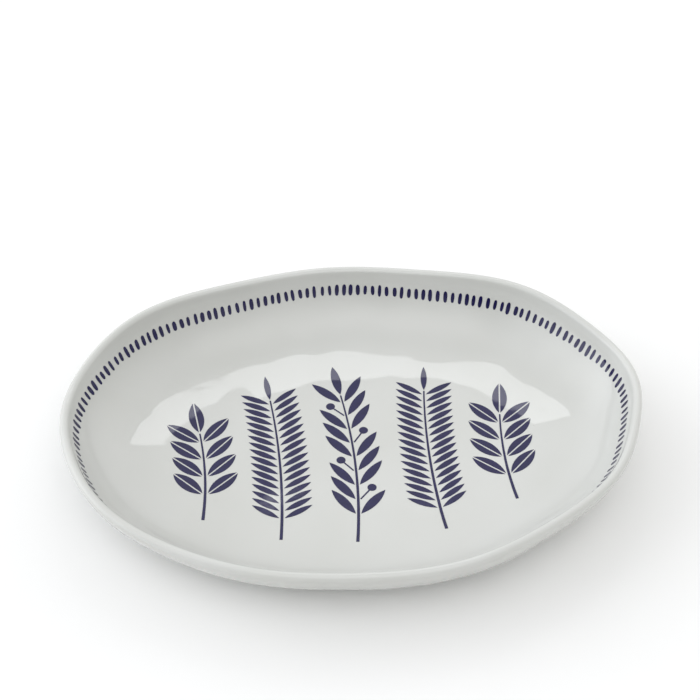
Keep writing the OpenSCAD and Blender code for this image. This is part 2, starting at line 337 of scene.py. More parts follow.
ahead = rim_at(add(rim_rule, PLUS, given["Angle"], angle_step))
behind = rim_at(add(rim_rule, MINUS, given["Angle"], angle_step))
forward = add(rim_rule, VECTOR_MINUS, ahead, behind)
sideways = add(rim_rule, VECTOR, forward, (0, 0, 1), operation="CROSS_PRODUCT")
fill(rim_rule, made, {
    "Point": rim_at(given["Angle"]),
    "Outward": add(rim_rule, VECTOR, sideways, operation="NORMALIZE"),
    "Rise": waves(rim_rule, given["Angle"], given, "Rise", rise_places),
})
tell(rim_rule)

# %% [markdown]
# ## The rule of the foot
# The foot under the platter is a plainer oval, turned to four arcs that run into each other: two small
# ones round the ends and two large ones along the sides. A scaled circle would come close, but its curve
# isn't a turned one. Each arc has its own middle, and a point of the foot is found from the direction that
# it faces, so it can be asked for with the rim's own outward direction.

# %% Oval of four arcs
foot_low, foot_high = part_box("foot_ring")
foot_half_l = (foot_high.x - foot_low.x) / 2
foot_half_w = (foot_high.y - foot_low.y) / 2
foot_end_r = 54 * MM
foot_end_x = foot_half_l - foot_end_r
foot_side_r = (foot_end_x ** 2 + foot_half_w ** 2 - foot_end_r ** 2) / (2 * (foot_half_w - foot_end_r))
foot_side_y = foot_side_r - foot_half_w

foot_rule, given, made = new_tree(
    "Foot oval",
    {
        "Outward": "Vector",
        "End radius": foot_end_r,
        "End middle": foot_end_x,
        "Side radius": foot_side_r,
        "Side middle": foot_side_y,
    },
    {"Edge": "Vector"},
)
facing = add(foot_rule, SPLIT, given["Outward"]).outputs
join_angle = add(foot_rule, MATH, given["Side middle"], given["End middle"], operation="ARCTAN2")
on_end = add(
    foot_rule, MATH,
    add(foot_rule, MATH, facing["X"], operation="ABSOLUTE"),
    add(foot_rule, MATH, join_angle, operation="COSINE"),
    operation="GREATER_THAN",
)
which_end = add(foot_rule, MATH, facing["X"], operation="SIGN")
which_side = add(foot_rule, MATH, facing["Y"], operation="SIGN")
across = add(foot_rule, TIMES, which_side, given["Side middle"])
end_middle = add(foot_rule, XYZ, add(foot_rule, TIMES, which_end, given["End middle"]))
side_middle = add(foot_rule, XYZ, 0.0, add(foot_rule, TIMES, across, -1.0))
arc_middle = add(foot_rule, MIX, on_end, side_middle, end_middle, data_type="VECTOR")
arc_radius = add(foot_rule, MIX, on_end, given["Side radius"], given["End radius"], data_type="FLOAT")
arc_spoke = add(foot_rule, SCALE, given["Outward"], arc_radius)
fill(foot_rule, made, {"Edge": add(foot_rule, VECTOR_PLUS, arc_middle, arc_spoke)})
tell(foot_rule)

# %% [markdown]
# ## Rolling a section round the oval
# A potter's template is the section of the wall, and the platter is that section carried round the oval.
# A Screw modifier could only turn a round plate, so a tree carries it here. Each clay or glaze piece starts
# as a drawn section: a line of points, each with its inset from the rim and its height, the share of the
# rim's rise that it takes, how far out of the middle it lies, and whether it follows the foot's oval. The
# tree samples those points on a grid of rings and columns and carries them round. Pressing leaves soft
# dents in the wall, so the same tree adds a smooth noise that fades towards the lip and the base.

# %% Tree that rolls a section
roll, given, made = new_tree(
    "Section rolled round the oval",
    {
        "Section": "Geometry",
        "Size": "Vector",
        "Columns": 450,
        "Dent size": "Float",
        "Dent depth": "Float",
        "Dent seed": "Int",
        "Dents from": "Float",
        "Dents full": "Float",
        "Dents fade": "Float",
        "Dents end": "Float",
        "Finish": "Material",
    },
    {"Piece": "Geometry"},
)
points = add(roll, "GeometryNodeAttributeDomainSize", given["Section"]).outputs["Point Count"]
grid = add(roll, GRID, {
    "Size X": 1.0,
    "Size Y": 1.0,
    "Vertices X": points,
    "Vertices Y": add(roll, PLUS, given["Columns"], 1.0),
})
cell = add(roll, SPLIT, add(roll, PLACE)).outputs
ring_share = add(roll, PLUS, cell["X"], 0.5)
last_ring = add(roll, MINUS, points, 1.0)
ring = add(
    roll, "FunctionNodeFloatToInt", add(roll, TIMES, ring_share, last_ring),
    rounding_mode="ROUND",
)
angle = add(roll, TIMES_PLUS, cell["Y"], math.tau, math.pi)


def drawn(value, data_type="FLOAT"):
    """A value of the drawn section at this ring's point: a field, or the name of an attribute."""
    if isinstance(value, str):
        value = add(roll, "GeometryNodeInputNamedAttribute", {"Name": value}, data_type=data_type)
    inputs = {"Geometry": given["Section"], "Value": value, "Index": ring}
    return add(roll, "GeometryNodeSampleIndex", inputs, data_type=data_type)


section_at = add(roll, SPLIT, drawn(add(roll, PLACE), "FLOAT_VECTOR")).outputs
rim = add(roll, GROUP, {"Angle": angle, "Size": given["Size"]}, node_tree=rim_rule).outputs
foot = add(roll, GROUP, {"Outward": rim["Outward"]}, node_tree=foot_rule)
edge = add(roll, MIX, drawn("on_foot"), rim["Point"], foot, data_type="VECTOR")
inset = add(roll, SCALE, rim["Outward"], section_at["X"])
flat = add(roll, VECTOR_MINUS, edge, inset)
drawn_in = add(roll, SCALE, flat, drawn("reach"))
height = add(roll, TIMES_PLUS, drawn("rise"), rim["Rise"], section_at["Z"])
rolled = add(roll, MOVE, {
    "Geometry": grid,
    "Position": add(roll, VECTOR_PLUS, drawn_in, add(roll, XYZ, 0.0, 0.0, height)),
})
weld_gap = 0.01 * MM
closed = add(roll, "GeometryNodeMergeByDistance", {"Geometry": rolled, "Distance": weld_gap})
print("carrying a section round takes", len(roll.nodes), "nodes")

# %% Soft dents, shading and finish
spot = add(roll, PLACE)
spot_z = add(roll, SPLIT, spot).outputs["Z"]
dents = add(roll, NOISE, {
    "Vector": spot,
    "W": given["Dent seed"],
    "Scale": add(roll, OVER, 1.0, given["Dent size"]),
    "Detail": 1.0,
}, noise_dimensions="4D")
coming_in = add(roll, RANGE, {
    "Value": spot_z, "From Min": given["Dents from"], "From Max": given["Dents full"],
}, interpolation_type="SMOOTHSTEP")
fading = add(roll, RANGE, {
    "Value": spot_z,
    "From Min": given["Dents fade"],
    "From Max": given["Dents end"],
    "To Min": 1.0,
    "To Max": 0.0,
}, interpolation_type="SMOOTHSTEP")
strength = add(roll, TIMES, add(roll, TIMES, coming_in, fading), given["Dent depth"])
swing = add(roll, VECTOR_MINUS, dents.outputs["Color"], (0.5, 0.5, 0.5))
pressed = add(roll, MOVE, {"Geometry": closed, "Offset": add(roll, SCALE, swing, strength)})


def finish_tree(tree, geometry, finish, made):
    """The last nodes of every tree: real geometry, smooth shading and the finish."""
    real = add(tree, "GeometryNodeRealizeInstances", geometry)
    smooth = add(tree, "GeometryNodeSetShadeSmooth", real)
    finished = add(tree, "GeometryNodeSetMaterial", {"Geometry": smooth, "Material": finish})
    fill(tree, made, {"Piece": finished})
    tell(tree)


finish_tree(roll, pressed, given["Finish"], made)

# %% [markdown]
# ## The section of the wall
# The floor is dished: it bends up very gently near its edge, and then the wall sweeps up in a tighter arc
# to a half-round lip. Outside, the wall comes down in an arc about the same middle, so it keeps its
# thickness. The clay lies under the glaze by the glaze's thickness, and the same drawing with a deeper
# skin gives it. A section could be kept as a list of points, but stations that come from an arc's angle
# stay smooth, and only the radii and slopes are chosen.

# %% Arcs of the wall
nominal_half_l = 200 * MM
nominal_half_w = 145 * MM
wall_t = 6.4 * MM
depth = 41.5 * MM
rim_slope = math.radians(77)
dish_r = 260 * MM
dish_slope = math.radians(8.6)
floor_slope = math.radians(1.4)
foot_h = 4 * MM
glaze_t = 0.35 * MM
lip_r = wall_t / 2
inner_r = depth / (1 - math.cos(rim_slope)) - lip_r
outer_r = inner_r + wall_t
wall_inset = lip_r + (inner_r + lip_r) * math.sin(rim_slope)
wall_z = foot_h + outer_r - glaze_t
lip_z = wall_z - (inner_r + lip_r) * math.cos(rim_slope)
dish_inset = wall_inset + (dish_r - inner_r) * math.sin(dish_slope)
dish_z = wall_z + (dish_r - inner_r) * math.cos(dish_slope)
floor_z = dish_z - dish_r
floor_half_w = nominal_half_w - dish_inset + dish_r * math.sin(floor_slope)
floor_sag = math.tan(floor_slope) * floor_half_w / 2
print("floor at", round(floor_z / MM, 2), "mm, lip's middle at", round(lip_z / MM, 2), "mm")

# %% Stations of the wall
inside_steps = 26
outside_steps = 44
dish_steps = 10
lip_steps = 12
floor_steps = 12


def station(inset, height, rise=0.0, reach=1.0, on_foot=0.0):
    """One point of a drawn section."""
    return {"inset": inset, "height": height, "rise": rise, "reach": reach, "on_foot": on_foot}


def rise_share(slope):
    """The share of the rim's rise that the wall takes, by how steep it is."""
    return (slope / rim_slope) ** 2


def arc(middle_inset, middle_z, radius, start, end, steps):
    """Stations along an arc of the wall, between two slopes."""
    slopes = [start + (end - start) * k / steps for k in range(steps + 1)]
    return [
        station(middle_inset - radius * math.sin(a), middle_z - radius * math.cos(a), rise_share(a))
        for a in slopes
    ]


def wall(skin):
    """The wall from the dished floor over the lip and down the outside, this deep under the glaze."""
    over = [rim_slope - k * math.pi / lip_steps for k in range(1, lip_steps)]
    dish = arc(dish_inset, dish_z, dish_r + skin, floor_slope, dish_slope, dish_steps)
    inside = arc(wall_inset, wall_z, inner_r + skin, dish_slope, rim_slope, inside_steps)
    skin_r = lip_r - skin
    lip = [station(lip_r + skin_r * math.sin(a), lip_z + skin_r * math.cos(a), 1.0) for a in over]
    outside = arc(wall_inset, wall_z, outer_r - skin, rim_slope, 0, outside_steps)
    return dish[:-1] + inside + lip + outside


def disc(inset, height, sag=0.0, on_foot=0.0):
    """A floor from the middle out to just short of an edge, with its middle lower by the sag."""
    shares = [k / floor_steps for k in range(floor_steps)]
    return [station(inset, height - sag * (1 - share ** 2), 0.0, share, on_foot) for share in shares]


def well_floor(skin):
    """The floor of the well, this deep under the glaze."""
    radius = dish_r + skin
    edge_inset = dish_inset - radius * math.sin(floor_slope)
    edge_z = dish_z - radius * math.cos(floor_slope)
    return disc(edge_inset, edge_z, floor_sag)


print("a wall has", len(wall(0)), "stations")

# %% Drawing a section and rolling it
glaze_low, glaze_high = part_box("glaze_coat")
platter_size = (2 * min(glaze_high.x, -glaze_low.x), 2 * min(glaze_high.y, -glaze_low.y), 0.0)
dent_size = 45 * MM
dent_depth = 2.2 * MM
dent_seed = 11
dents_below_floor = 1 * MM
dents_above_floor = 2 * MM
dents_below_lip = 14 * MM
sharp_angle = math.radians(50)
print("the rim is", [round(side / MM, 1) for side in platter_size[:2]], "mm")


def new_piece(name, mesh=None):
    """An object at the origin, in the scene."""
    piece = bpy.data.objects.new(name, mesh or bpy.data.meshes.new(name))
    scene.collection.objects.link(piece)
    return piece


def grown(piece, tree, inputs, film_t=None):
    """Runs a tree on a piece and leaves a plain mesh, thickened to a film where a thickness is given."""
    modifier = piece.modifiers.new(tree.name, "NODES")
    modifier.node_group = tree
    for socket in tree.interface.items_tree:
        if socket.in_out == "INPUT" and socket.name in inputs:
            modifier[socket.identifier] = inputs[socket.name]
    if film_t:
        film = piece.modifiers.new("film", "SOLIDIFY")
        film.thickness = film_t
        film.offset = 1
    graph = bpy.context.evaluated_depsgraph_get()
    mesh = bpy.data.meshes.new_from_object(piece.evaluated_get(graph), depsgraph=graph)
    piece.modifiers.clear()
    piece.data = mesh
    mesh.name = piece.name
    mesh.set_sharp_from_angle(angle=sharp_angle)
    print("made", piece.name, "with", len(mesh.polygons), "faces")
    return piece


def rolled_piece(name, stations, finish, dents):
    """A clay or glaze piece: its section drawn as a line of points, then rolled round the oval."""
    mesh = bpy.data.meshes.new(name)
    drawing = [(s["inset"], 0, s["height"]) for s in stations]
    mesh.from_pydata(drawing, [(k, k + 1) for k in range(len(stations) - 1)], [])
    for label in ("rise", "reach", "on_foot"):
        values = mesh.attributes.new(label, "FLOAT", "POINT")
        values.data.foreach_set("value", [s[label] for s in stations])
    return grown(new_piece(name, mesh), roll, {
        "Size": platter_size,
        "Dent size": dent_size,
        "Dent depth": dents,
        "Dent seed": dent_seed,
        "Dents from": floor_z - dents_below_floor,
        "Dents full": floor_z + dents_above_floor,
        "Dents fade": lip_z - dents_below_lip,
        "Dents end": lip_z,
        "Finish": finish,
    })


def on_platter(piece, slot, *nodes):
    """Hides the CAD parts that a finished piece replaces, and hangs the piece on the platter. The slot is
    not used.
    """
    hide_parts(*nodes)
    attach(piece, "root")


# %% [markdown]
# ## Clay, foot and glaze
# The clay body shows only in a narrow strip beside the foot, where the glaze was wiped off before firing.
# The foot is a low ring with a small fillet where it grows out of the base and rounded edges where it is
# ground. The glaze is a thin skin over everything else, with a second pool inside the foot. Solidify could
# grow the glaze on the clay, but its wiped edge needs a bead, so all four are rolled sections.

# %% Clay body
clay = rolled_piece(
    "pressed_clay_body",
    well_floor(glaze_t) + wall(glaze_t) + disc(wall_inset, foot_h)[::-1],
    bare_stoneware, dent_depth,
)
on_platter(clay, "stoneware", "clay_body")

# %% Foot ring
foot_t = 8 * MM
foot_taper = 1 * MM
foot_round = 0.8 * MM
foot_fillet = 1 * MM
corner_steps = 6
quarter_turn = [k * math.pi / 2 / corner_steps for k in range(corner_steps + 1)]
fillet = [
    (foot_fillet * (math.sin(a) - 1), foot_h + foot_fillet * (math.cos(a) - 1)) for a in quarter_turn
]
rounding = [
    (foot_taper + foot_round * (1 - math.cos(a)), foot_round * (1 - math.sin(a))) for a in quarter_turn
]
foot_side = fillet + rounding
foot_inside = [(foot_t - inset, height) for inset, height in reversed(foot_side)]
foot_loop = foot_side + foot_inside + foot_side[:1]
foot_piece = rolled_piece(
    "turned_foot",
    [station(inset, height, on_foot=1.0) for inset, height in foot_loop],
    bare_stoneware, dents=0.0,
)
on_platter(foot_piece, "stoneware", "foot_ring")

# %% Glaze coat and the glaze inside the foot
glaze_wipe = 1.5 * MM
glaze_bead = 0.4 * MM
bead_bulge = 0.3
under_glaze = foot_h - glaze_t


def bead(edge, outwards):
    """The rounded edge where the glaze was wiped off near the foot, from the base to its underside."""
    rounded = [(0, foot_h), (bead_bulge, under_glaze + bead_bulge * glaze_t), (1, under_glaze)]
    return [station(edge + outwards * share * glaze_bead, z, on_foot=1.0) for share, z in rounded]


glaze_face = well_floor(0) + wall(0)
glaze_back = well_floor(glaze_t) + wall(glaze_t)
glaze = rolled_piece(
    "white_glaze_coat",
    glaze_face + bead(-glaze_wipe, outwards=-1)[::-1] + glaze_back[::-1],
    white_glaze, dent_depth,
)
on_platter(glaze, "white_glaze", "glaze_coat")

pool_edge = foot_t + glaze_wipe
pool = rolled_piece(
    "base_glaze_pool",
    disc(pool_edge, foot_h, on_foot=1.0) + bead(pool_edge, outwards=1)
    + disc(pool_edge + glaze_bead, under_glaze, on_foot=1.0)[::-1],
    white_glaze, dents=0.0,
)
on_platter(pool, "white_glaze", "base_glaze")

# %% [markdown]
# ## The printed border
# A common border of short upright strokes with blunt ends runs round inside the rim. They were drawn by
# hand, so lengths, widths and angles vary a little, and the row wanders up and down the wall in slow waves.
# An Array along a curve would make all strokes alike, so Geometry Nodes places them: the rim's rule gives
# the path, a small disc is stretched into each stroke, and every vertex is then dropped onto the glaze, so
# that the print follows its dents. A Solidify modifier turns the sheet into a thin closed film.

# %% Disc that strokes and olives are cut from
round_print, given, made = new_tree(
    "Printed disc",
    {"Cells along": 6, "Cells across": 3, "Roundness": 0.5},
    {"Disc": "Geometry"},
)
square = add(round_print, GRID, {
    "Size X": 2.0,
    "Size Y": 2.0,
    "Vertices X": add(round_print, PLUS, given["Cells across"], 1.0),
    "Vertices Y": add(round_print, PLUS, given["Cells along"], 1.0),
})
corner = add(round_print, SPLIT, add(round_print, PLACE)).outputs
drawn_in_by = add(round_print, TIMES, given["Roundness"], -1.0)


def drawn_to_circle(own, other):
    """A square's coordinate drawn in towards a circle, which it reaches at a roundness of a half."""
    squared = add(round_print, MATH, other, 2.0, operation="POWER")
    kept = add(round_print, TIMES_PLUS, squared, drawn_in_by, 1.0)
    share = add(round_print, MATH, kept, operation="SQRT")
    return add(round_print, TIMES, own, share)


rounded = add(
    round_print, XYZ,
    drawn_to_circle(corner["X"], corner["Y"]),
    drawn_to_circle(corner["Y"], corner["X"]),
)
fill(round_print, made, {"Disc": add(round_print, MOVE, {"Geometry": square, "Position": rounded})})
tell(round_print)

# %% Path of the border
wander_sizes = {1: 1 * MM, 2: 1.2 * MM, 4: 1.5 * MM}
wander_places = {1: 290, 2: 90, 4: 45}
border, given, made = new_tree(
    "Border strokes",
    {
        "Glaze": "Object",
        "Size": "Vector",
        "Inset": "Float",
        "Height": "Float",
        "Rise share": "Float",
        "Strokes": 190,
        "Quarter": "Int",
        "Stroke length": "Float",
        "Stroke width": "Float",
        "Size variation": 0.16,
        "Tilt variation": 0.06,
        "Step variation": 0.5 * MM,
        "Stroke roundness": 0.4,
        "Lift": "Float",
        "Seed": 11,
        "Finish": "Material",
    } | wave_inputs("Wander", wander_sizes),
    {"Piece": "Geometry"},
)
path_points = 720
way_round = add(border, "GeometryNodeSplineParameter").outputs["Factor"]
path_angle = add(border, TIMES, way_round, math.tau)
rim = add(border, GROUP, {"Angle": path_angle, "Size": given["Size"]}, node_tree=rim_rule).outputs
path_inset = add(border, SCALE, rim["Outward"], given["Inset"])
path_flat = add(border, VECTOR_MINUS, rim["Point"], path_inset)
path_z = add(border, TIMES_PLUS, rim["Rise"], given["Rise share"], given["Height"])
path = add(border, MOVE, {
    "Geometry": add(border, "GeometryNodeCurvePrimitiveCircle", {"Resolution": path_points}),
    "Position": add(border, VECTOR_PLUS, path_flat, add(border, XYZ, 0.0, 0.0, path_z)),
})
print("the border's path has", path_points, "points")

# %% Strokes drawn by hand along the path
clear_height = 1 * MM
number = add(border, "GeometryNodeInputIndex")
middle_of_step = add(border, PLUS, number, 0.5)
way_along = add(border, OVER, middle_of_step, given["Strokes"])
along = add(border, "GeometryNodeSampleCurve", {
    "Curves": path, "Factor": way_along,
}, mode="FACTOR", use_all_curves=True).outputs
border_angle = add(border, TIMES, way_along, math.tau)
wander = waves(border, border_angle, given, "Wander", wander_places)


def on_glaze(tree, glaze_mesh, place):
    """The nearest point of the glaze, and the direction that it faces there."""
    seat = add(tree, "GeometryNodeProximity", {
        "Geometry": glaze_mesh, "Sample Position": place,
    }, target_element="FACES")
    normal = add(tree, "GeometryNodeSampleNearestSurface", {
        "Mesh": glaze_mesh, "Value": add(tree, "GeometryNodeInputNormal"), "Sample Position": place,
    }, data_type="FLOAT_VECTOR")
    return seat.outputs["Position"], normal


def by_hand(spread, draw):
    """A random number round 0 for each stroke. draw tells one random number from another."""
    return add(border, "FunctionNodeRandomValue", {
        "Min": add(border, TIMES, spread, -1.0),
        "Max": spread,
        "Seed": add(border, PLUS, given["Seed"], float(draw)),
    })


def varied_half(size, draw):
    """Half a stroke's length or width, varied by hand."""
    half = add(border, TIMES, size, 0.5)
    return add(border, TIMES_PLUS, by_hand(given["Size variation"], draw), half, half)


glaze_mesh = add(border, "GeometryNodeObjectInfo", {"Object": given["Glaze"]}).outputs["Geometry"]
seat, seat_normal = on_glaze(border, glaze_mesh, along["Position"])
upright = add(
    border, "FunctionNodeAxesToRotation",
    {"Primary Axis": seat_normal, "Secondary Axis": along["Tangent"]},
    primary_axis="Z", secondary_axis="X",
)
tilt = add(border, "FunctionNodeAxisAngleToRotation", {
    "Axis": (0, 0, 1), "Angle": by_hand(given["Tilt variation"], draw=0),
})
aside = add(border, SCALE, along["Tangent"], by_hand(given["Step variation"], draw=3))
down_wall = add(border, VECTOR, seat_normal, along["Tangent"], operation="CROSS_PRODUCT")
lower = add(border, SCALE, down_wall, wander)
above = add(border, SCALE, seat_normal, clear_height)
stroke_place = seat
for shift in (aside, lower, above):
    stroke_place = add(border, VECTOR_PLUS, stroke_place, shift)
strokes = add(border, "GeometryNodePoints", {"Count": given["Strokes"], "Position": stroke_place})
print("placing the strokes takes", len(border.nodes), "nodes")

# %% One quarter of the strokes, laid on the glaze
border_sides = ("right", "back", "left", "front")
quarters = float(len(border_sides))
compare_margin = 0.1

# Neighbours stay in pairs, and a pair belongs to the side of the platter that is nearest
pair_number = add(border, MATH, add(border, TIMES, number, 0.5), operation="FLOOR")
quarters_round = add(border, OVER, add(border, TIMES, pair_number, 2 * quarters), given["Strokes"])
nearest = add(border, MATH, add(border, PLUS, quarters_round, 0.5), operation="FLOOR")
quarter = add(border, MATH, nearest, quarters, operation="MODULO")
stroke_turn = add(border, "FunctionNodeRotateRotation", {
    "Rotation": upright, "Rotate By": tilt,
}, rotation_space="LOCAL")
stroke_halves = [varied_half(given["Stroke width"], draw=1), varied_half(given["Stroke length"], draw=2)]
laid = add(border, "GeometryNodeInstanceOnPoints", {
    "Points": strokes,
    "Selection": add(border, MATH, quarter, given["Quarter"], compare_margin, operation="COMPARE"),
    "Instance": add(border, GROUP, {"Roundness": given["Stroke roundness"]}, node_tree=round_print),
    "Rotation": stroke_turn,
    "Scale": add(border, XYZ, *stroke_halves, 1.0),
})


def dropped_on_glaze(tree, geometry, glaze_mesh, lift):
    """Every vertex brought onto the glaze, a hair above it."""
    seat, normal = on_glaze(tree, glaze_mesh, add(tree, PLACE))
    above = add(tree, SCALE, normal, lift)
    return add(tree, MOVE, {
        "Geometry": add(tree, "GeometryNodeRealizeInstances", geometry),
        "Position": add(tree, VECTOR_PLUS, seat, above),
    })


finish_tree(border, dropped_on_glaze(border, laid, glaze_mesh, given["Lift"]), given["Finish"], made)

# %% The four quarters of the border
border_drop = 14.6 * MM
border_slope = rim_slope - border_drop / inner_r
path_r = inner_r - clear_height
stroke_l = 8.2 * MM
stroke_w = 2.8 * MM
film_lift = 0.03 * MM
film_t = 0.1 * MM
for quarter_number, side in enumerate(border_sides):
    strokes_piece = grown(new_piece(f"border_strokes_{side}"), border, {
        "Glaze": glaze,
        "Size": platter_size,
        "Inset": wall_inset - path_r * math.sin(border_slope),
        "Height": wall_z - path_r * math.cos(border_slope),
        "Rise share": rise_share(border_slope),
        "Quarter": quarter_number,
        "Stroke length": stroke_l,
        "Stroke width": stroke_w,
        "Lift": film_lift,
        "Finish": navy_print,
    }, film_t)
    on_platter(strokes_piece, "navy_print", f"border_print_{side}")

# %% [markdown]
# ## The printed sprigs
# Five plain herb sprigs stand in a row across the well: an olive branch in the middle, a fern on each side
# of it and a bay sprig at each end. They could be drawn one by one as curves, but a sprig is a bent stem
# with leaves in pairs, which is again a rule. The tree bends the stem to an arc, sets a leaf at each place
# along it, swaps some for olives on the olive branch, and drops it all onto the glaze. The two sprigs of a
# kind mirror each other by the sign of one input, so no mesh is turned inside out.

# %% Leaf in two halves
leaf, given, made = new_tree(
    "Printed leaf",
    {"Leaf length": "Float", "Leaf width": "Float", "Rib width": "Float"},
    {"Leaf": "Geometry"},
)
leaf_points_along = 13
leaf_points_across = 3

# An arc through both tips has a radius of (length ** 2 + width ** 2) / (4 * width)
squares = [
    add(leaf, MATH, given[f"Leaf {side}"], 2.0, operation="POWER") for side in ("length", "width")
]
edge_r = add(leaf, OVER, add(leaf, PLUS, *squares), add(leaf, TIMES, given["Leaf width"], 4.0))
edge_middle = add(leaf, TIMES_PLUS, given["Leaf width"], -0.5, edge_r)
half_rib = add(leaf, TIMES, given["Rib width"], 0.5)


def arc_reach(offset):
    """How far the arc of the leaf's edge reaches, at an offset from the arc's middle."""
    whole = add(leaf, MATH, edge_r, 2.0, operation="POWER")
    used = add(leaf, MATH, offset, 2.0, operation="POWER")
    return add(leaf, MATH, add(leaf, MINUS, whole, used), operation="SQRT")


half_length = arc_reach(add(leaf, PLUS, edge_middle, half_rib))
blade_at = add(leaf, SPLIT, add(leaf, PLACE)).outputs
from_middle = add(leaf, TIMES, blade_at["X"], half_length)
leaf_edge = add(leaf, MINUS, arc_reach(from_middle), edge_middle)
blade_width = add(leaf, MINUS, leaf_edge, half_rib)
blade_share = add(leaf, PLUS, blade_at["Y"], 0.5)
blade_place = add(
    leaf, XYZ,
    add(leaf, TIMES_PLUS, given["Leaf length"], 0.5, from_middle),
    add(leaf, TIMES_PLUS, blade_share, blade_width, half_rib),
)
blade = add(leaf, GRID, {
    "Size X": 2.0, "Size Y": 1.0, "Vertices X": leaf_points_along, "Vertices Y": leaf_points_across,
})
upper_half = add(leaf, MOVE, {"Geometry": blade, "Position": blade_place})
mirrored = add(leaf, "GeometryNodeTransform", {"Geometry": upper_half, "Scale": (1, -1, 1)})
halves = add(leaf, "GeometryNodeJoinGeometry", upper_half)
fill(leaf, halves, {0: add(leaf, "GeometryNodeFlipFaces", mirrored)})
fill(leaf, made, {
    "Leaf": add(leaf, "GeometryNodeMergeByDistance", {"Geometry": halves, "Distance": weld_gap}),
})
tell(leaf)

# %% Tree for a sprig, and its bent stem
sprig, given, made = new_tree(
    "Printed sprig",
    {"Glaze": "Object", "Pairs": "Int", "Olives": "Bool", "Finish": "Material"}
    | {"Olive size": 6.4 * MM, "Stalk length": 13 * MM}
    | dict.fromkeys((
        "Place", "Side", "Height", "Lift", "Stem length", "Stem width", "Tip share", "Bend",
        "Pitch", "Lean", "Leaf length", "Leaf width", "Rib width", "Leaf gap",
    ), "Float"),
    {"Piece": "Geometry"},
)
stem_r = add(sprig, OVER, given["Stem length"], given["Bend"])
half_base = add(sprig, TIMES, given["Stem width"], 0.5)
narrowing = add(sprig, MINUS, given["Tip share"], 1.0)


def bearing(way):
    """The stem's turn from upright, at a distance along it."""
    share = add(sprig, OVER, way, given["Stem length"])
    return add(sprig, TIMES, add(sprig, MINUS, share, 0.5), given["Bend"])


def half_stem(way):
    """Half the stem's width, at a distance along it."""
    share = add(sprig, OVER, way, given["Stem length"])
    kept = add(sprig, TIMES_PLUS, share, narrowing, 1.0)
    return add(sprig, TIMES, kept, half_base)


def stem_point(way, aside):
    """A point beside the bent stem, in its place over the platter's floor."""
    turn = bearing(way)
    spoke = add(sprig, PLUS, stem_r, aside)
    across = add(sprig, TIMES, spoke, add(sprig, MATH, turn, operation="COSINE"))
    up = add(sprig, TIMES, spoke, add(sprig, MATH, turn, operation="SINE"))
    bent = add(sprig, MINUS, across, stem_r)
    placed = add(sprig, PLUS, bent, given["Place"])
    return add(
        sprig, XYZ,
        add(sprig, TIMES, placed, given["Side"]),
        add(sprig, TIMES_PLUS, given["Leaf length"], -0.5, up),
        given["Height"],
    )


stem_points_along = 41
stem_points_across = 3
strip = add(sprig, GRID, {
    "Size X": 2.0, "Size Y": 1.0, "Vertices X": stem_points_across, "Vertices Y": stem_points_along,
})
strip_at = add(sprig, SPLIT, add(sprig, PLACE)).outputs
strip_share = add(sprig, PLUS, strip_at["Y"], 0.5)
strip_way = add(sprig, TIMES, strip_share, given["Stem length"])
strip_side = add(sprig, TIMES, strip_at["X"], given["Side"])
strip_aside = add(sprig, TIMES, strip_side, half_stem(strip_way))
stem = add(sprig, MOVE, {"Geometry": strip, "Position": stem_point(strip_way, strip_aside)})
print("a stem has", stem_points_along, "points along it")

# %% Leaves along the stem
olive_every = 4.0
order = add(sprig, "GeometryNodeInputIndex")
pair = add(sprig, MATH, add(sprig, TIMES, order, 0.5), operation="FLOOR")
last_leaf = add(sprig, TIMES_PLUS, given["Pairs"], 2.0, -0.5)
is_tip = add(sprig, MATH, order, last_leaf, operation="GREATER_THAN")
is_beside = add(sprig, MINUS, 1.0, is_tip)
left_or_right = add(sprig, TIMES_PLUS, add(sprig, MATH, order, 2.0, operation="MODULO"), 2.0, -1.0)
leaf_side = add(sprig, TIMES, left_or_right, is_beside)
from_top = add(sprig, TIMES, add(sprig, PLUS, pair, 0.5), given["Pitch"])
pair_way = add(sprig, MINUS, given["Stem length"], from_top)
tip_way = add(sprig, PLUS, given["Stem length"], given["Leaf gap"])
leaf_way = add(sprig, MIX, is_tip, pair_way, tip_way, data_type="FLOAT")
leaf_off = add(sprig, PLUS, half_stem(leaf_way), given["Leaf gap"])
leaf_aside = add(sprig, TIMES, leaf_off, leaf_side)
leaf_places = add(sprig, "GeometryNodePoints", {
    "Count": add(sprig, TIMES_PLUS, given["Pairs"], 2.0, 1.0),
    "Position": stem_point(leaf_way, leaf_aside),
})
leaf_lean = add(sprig, TIMES, leaf_side, given["Lean"])
leaf_turn = add(sprig, MINUS, bearing(leaf_way), leaf_lean)
leaf_rotation = add(sprig, "FunctionNodeAxisAngleToRotation", {
    "Axis": (0, 0, 1),
    "Angle": add(sprig, TIMES_PLUS, leaf_turn, given["Side"], math.pi / 2),
})
olive_count = add(sprig, MATH, add(sprig, PLUS, pair, leaf_side), olive_every, operation="FLOORED_MODULO")
is_due = add(sprig, MATH, olive_count, 0.0, compare_margin, operation="COMPARE")
may_swap = add(sprig, TIMES, is_beside, given["Olives"])
is_olive = add(sprig, TIMES, is_due, may_swap)
leaf_sizes = {label: given[label] for label in ("Leaf length", "Leaf width", "Rib width")}
leaves = add(sprig, "GeometryNodeInstanceOnPoints", {
    "Points": leaf_places,
    "Selection": add(sprig, MINUS, 1.0, is_olive),
    "Instance": add(sprig, GROUP, leaf_sizes, node_tree=leaf),
    "Rotation": leaf_rotation,
})
print("on the olive branch, one leaf in", round(olive_every), "makes room for an olive")

